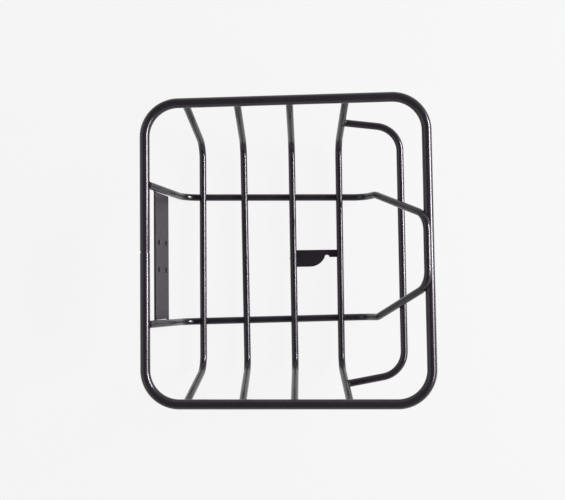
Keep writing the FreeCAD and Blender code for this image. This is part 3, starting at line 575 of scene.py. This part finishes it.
# ---- Welds at the bumper's ends -----------------------------------------------------------------
# Each arm's end is welded all round to the leg it meets. Both tubes are as thick, so the bead's sides
# stop just short of the leg's flanks.
BUMPER_BEAD, BUMPER_BEAD_RADIUS = 1.5, 0.97 * THIN_RADIUS
shapes = []
for seed, (root, way, leg) in enumerate(((points[0], ways[0], front_bar["legs"][0][1]),
                                         (points[-1], -ways[-1], front_bar["legs"][1][1]))):
    shapes.append(saddle_bead(root, way, BUMPER_BEAD_RADIUS, root, leg, THIN_RADIUS, BUMPER_BEAD,
                              seed=seed + 4))
piece_from("bumper_beads", shapes, weld_coat, "bumper_welds")


# ---- Mounting plate -----------------------------------------------------------------------------
# Flat steel of 3 mm between the two risers, in the plane of their axes, with rounded corners. Four
# plain holes take the screws of the bracket on the head tube.
def plate_mesh(outline, holes, thickness, edge, to_world):
    """Sheet with a round-edged rim. The outline is points with outward directions. Rim rows stand
    edge (1 - sin(v)) inside it and edge (1 - cos(v)) below each face. A hole's rim is the same, with its
    direction towards the hole's middle. The faces are cut into triangles round the holes."""
    v = np.radians([0, 30, 60, 90])
    inset = np.concatenate([edge * (1 - np.sin(v)), edge * (1 - np.sin(v[::-1]))])
    height = np.concatenate([thickness / 2 - edge * (1 - np.cos(v)),
                             -thickness / 2 + edge * (1 - np.cos(v[::-1]))])
    t = np.linspace(0, 2 * math.pi, 48, endpoint=False)
    circle = np.stack([np.cos(t), -np.sin(t)], 1)
    loops = [outline] + [(np.array(middle) + radius * circle, -circle) for middle, radius in holes]
    vertices, curved, tops, bottoms, start = [], [], [], [], 0
    for points, outwards in loops:
        rows = points[None] - inset[:, None, None] * outwards[None]
        rows = np.concatenate([rows, np.broadcast_to(height[:, None, None], rows.shape[:2] + (1,))], 2)
        count = len(points)
        vertices.append(rows.reshape(-1, 3))
        curved.append(grid_faces(len(rows), count)[:, ::-1] + start)
        tops.append(start + np.arange(count))
        bottoms.append(start + (len(rows) - 1) * count + np.arange(count))
        start += rows.shape[0] * count
    vertices = np.concatenate(vertices)
    flat = []
    for loops_of_face, up in ((tops, 1), (bottoms, -1)):
        order = np.concatenate(loops_of_face)
        triangles = order[np.array(tessellate_polygon([vertices[loop].tolist() for loop in loops_of_face]))]
        a, b, c = (vertices[triangles[:, k], :2] for k in range(3))
        area = (b[:, 0] - a[:, 0]) * (c[:, 1] - a[:, 1]) - (b[:, 1] - a[:, 1]) * (c[:, 0] - a[:, 0])
        triangles[area * up < 0] = triangles[area * up < 0][:, ::-1]
        flat.append(triangles)
    return to_world(vertices), np.concatenate(curved), np.concatenate(flat)


PLATE_HEIGHT, PLATE_THICKNESS, PLATE_DROP, PLATE_CORNER, PLATE_EDGE = 46.3, 3.0, 44.2, 1.5, 0.35
PLATE_GAP_TOP, PLATE_GAP_BOTTOM, PLATE_MIDDLE = 0.5, 1.5, RUNNER_MIDDLE - 0.3
BOLT_RADIUS, BOLT_ACROSS, BOLT_ALONG, BOLT_DROP = 3.5, 36.0, 25.5, 0.5
up_riser = np.array([-math.sin(RISER_LEAN), 0, math.cos(RISER_LEAN)])
plate_front = np.array([math.cos(RISER_LEAN), 0, math.sin(RISER_LEAN)])
plate_centre = np.array([riser_top, PLATE_MIDDLE, HOOP_LEVEL]) - up_riser * PLATE_DROP
riser_side = rail_half_width(plate_centre[0]) - THIN_RADIUS
top_half, bottom_half = riser_side - PLATE_GAP_TOP, riser_side - PLATE_GAP_BOTTOM


def on_plate(local):
    """Across, along the riser and out of the plate's middle plane, turned into the carrier's frame."""
    return plate_centre + local[:, :1] * [0, 1, 0] + local[:, 1:2] * up_riser + local[:, 2:] * plate_front


plate_points, plate_ways = bent_route(
    [(-bottom_half, -PLATE_HEIGHT / 2), (bottom_half, -PLATE_HEIGHT / 2),
     (top_half, PLATE_HEIGHT / 2), (-top_half, PLATE_HEIGHT / 2)],
    PLATE_CORNER, closed=True, turn_step=math.radians(15))
plate_outline = (plate_points, np.stack([plate_ways[:, 1], -plate_ways[:, 0]], 1))
bolt_holes = [((x, y - BOLT_DROP), BOLT_RADIUS) for x in (-BOLT_ACROSS / 2, BOLT_ACROSS / 2)
              for y in (-BOLT_ALONG / 2, BOLT_ALONG / 2)]
plate_coat = powder_coat("plate_powder_coat", (0.0098, 0.0071, 0.0103), roughness=0.38, peel=1.6)
piece_from("riser_plate", [plate_mesh(plate_outline, bolt_holes, PLATE_THICKNESS, PLATE_EDGE, on_plate)],
           plate_coat, "mounting_plate")


# ---- Welds at the mounting plate's corners ------------------------------------------------------
# Three of the plate's corners are welded to the risers with a short bead each, laid along the gap
# between plate and riser.
def short_bead(start, end, radius, seed, rings=41):
    """A run of filler that is round in section: radius (1 - |2 s - 1|^3)^0.6 at s along it, with ripples
    of RIPPLE_PITCH and a slow wander."""
    start, end = np.array(start, float), np.array(end, float)
    s = (1 - np.cos(np.linspace(0, math.pi, rings))) / 2
    length = np.linalg.norm(end - start)
    ripple = 0.07 * np.cos(2 * math.pi * s * length / RIPPLE_PITCH + seed)
    wander = 0.05 * np.sin(5 * s + 2 * seed)
    radii = radius * (1 - np.abs(2 * s - 1) ** 3) ** 0.6 * (1 + ripple + wander)
    way = (end - start) / length
    reference = (0, 0, 1) if abs(way[2]) < 0.9 else (1, 0, 0)
    vertices, sides, ends = tube_mesh(start + (end - start) * s[:, None], np.repeat(way[None], rings, 0),
                                      np.maximum(radii, 0.01), reference, around=32)
    return vertices, sides.tolist() + ends.tolist(), []


TAB_LENGTH, TAB_OVERHANG = 6.0, 2.0
shapes = []
for side, level, gap in ((1, 1, PLATE_GAP_TOP), (-1, 1, PLATE_GAP_TOP), (-1, -1, PLATE_GAP_BOTTOM)):
    across = side * (riser_side - gap / 2)
    past = level * (PLATE_HEIGHT / 2 + TAB_OVERHANG)
    ends = on_plate(np.array([(across, past - level * TAB_LENGTH, 0), (across, past, 0)]))
    shapes.append(short_bead(ends[0], ends[1], PLATE_THICKNESS / 2, side + level))
piece_from("plate_corner_beads", shapes, weld_coat, "mounting_plate_welds")

# ---- Hook plate ---------------------------------------------------------------------------------
# Flat steel of 3 mm under the third and front cross-bars, cut with a round end and a notch that takes
# the hook of an elastic cord.
HOOK_THICKNESS, HOOK_WIDTH, HOOK_EDGE_PLACE, HOOK_STRIP, HOOK_NOTCH = 3.0, 23.8, 8.1, 10.5, 3.2
HOOK_OVERHANG, HOOK_ROUND, HOOK_BELLY, HOOK_EDGE = 4.4, 31.8, 46.6, 0.3
hook_rear, hook_front = bars[2]["place"] - HOOK_OVERHANG, bars[3]["place"] + HOOK_OVERHANG
hook_top = BED_LEVEL - THIN_RADIUS - SEAT_GAP
hook_low, strip_low = HOOK_EDGE_PLACE - HOOK_WIDTH, HOOK_EDGE_PLACE - HOOK_STRIP
notch_rear = HOOK_ROUND + math.sqrt(HOOK_WIDTH ** 2 - HOOK_STRIP ** 2)
notch_front, notch_top = notch_rear + 2 * HOOK_NOTCH, strip_low + HOOK_NOTCH
# Each corner of the outline with the radius it is cut to
hook_corners = [((hook_rear, hook_low), 0.8), ((HOOK_BELLY, hook_low), 23.0),
                ((notch_rear, strip_low), 0.7), ((notch_rear, notch_top), 2.9),
                ((notch_front, notch_top), 2.9), ((notch_front, strip_low), 0.2),
                ((hook_front, strip_low), 0.8), ((hook_front, HOOK_EDGE_PLACE), 0.8),
                ((hook_rear, HOOK_EDGE_PLACE), 0.8)]
hook_points, hook_ways = bent_route([corner for corner, radius in hook_corners],
                                    [radius for corner, radius in hook_corners],
                                    closed=True, turn_step=math.radians(6))
hook_outline = (hook_points, np.stack([hook_ways[:, 1], -hook_ways[:, 0]], 1))
hook_coat = powder_coat("hook_plate_powder_coat", (0.0078, 0.0068, 0.0081), roughness=0.3, peel=1.6)
piece_from("bed_hook_plate", [plate_mesh(hook_outline, [], HOOK_THICKNESS, HOOK_EDGE,
                                         lambda local: local + [0, 0, hook_top - HOOK_THICKNESS / 2])],
           hook_coat, "hook_plate")

# ---- Welds of the hook plate --------------------------------------------------------------------
# A short bead on each side of both bars holds the hook plate. It fills the groove between the round
# bar and the flat steel below it.
HOOK_BEAD_RADIUS, HOOK_BEAD_LENGTH, HOOK_BEAD_PLACE = 1.7, 8.0, 0.7 * THIN_RADIUS
bead_level = hook_top + SEAT_GAP
shapes = []
for bar, middle in ((bars[2], HOOK_EDGE_PLACE - HOOK_WIDTH / 2),
                    (bars[3], HOOK_EDGE_PLACE - HOOK_STRIP / 2)):
    for side in (-1, 1):
        x = bar["place"] + middle * math.tan(bar["turn"]) + side * HOOK_BEAD_PLACE
        shapes.append(short_bead((x, middle - HOOK_BEAD_LENGTH / 2, bead_level),
                                 (x, middle + HOOK_BEAD_LENGTH / 2, bead_level), HOOK_BEAD_RADIUS, x))
piece_from("hook_plate_beads", shapes, weld_coat, "hook_plate_welds")
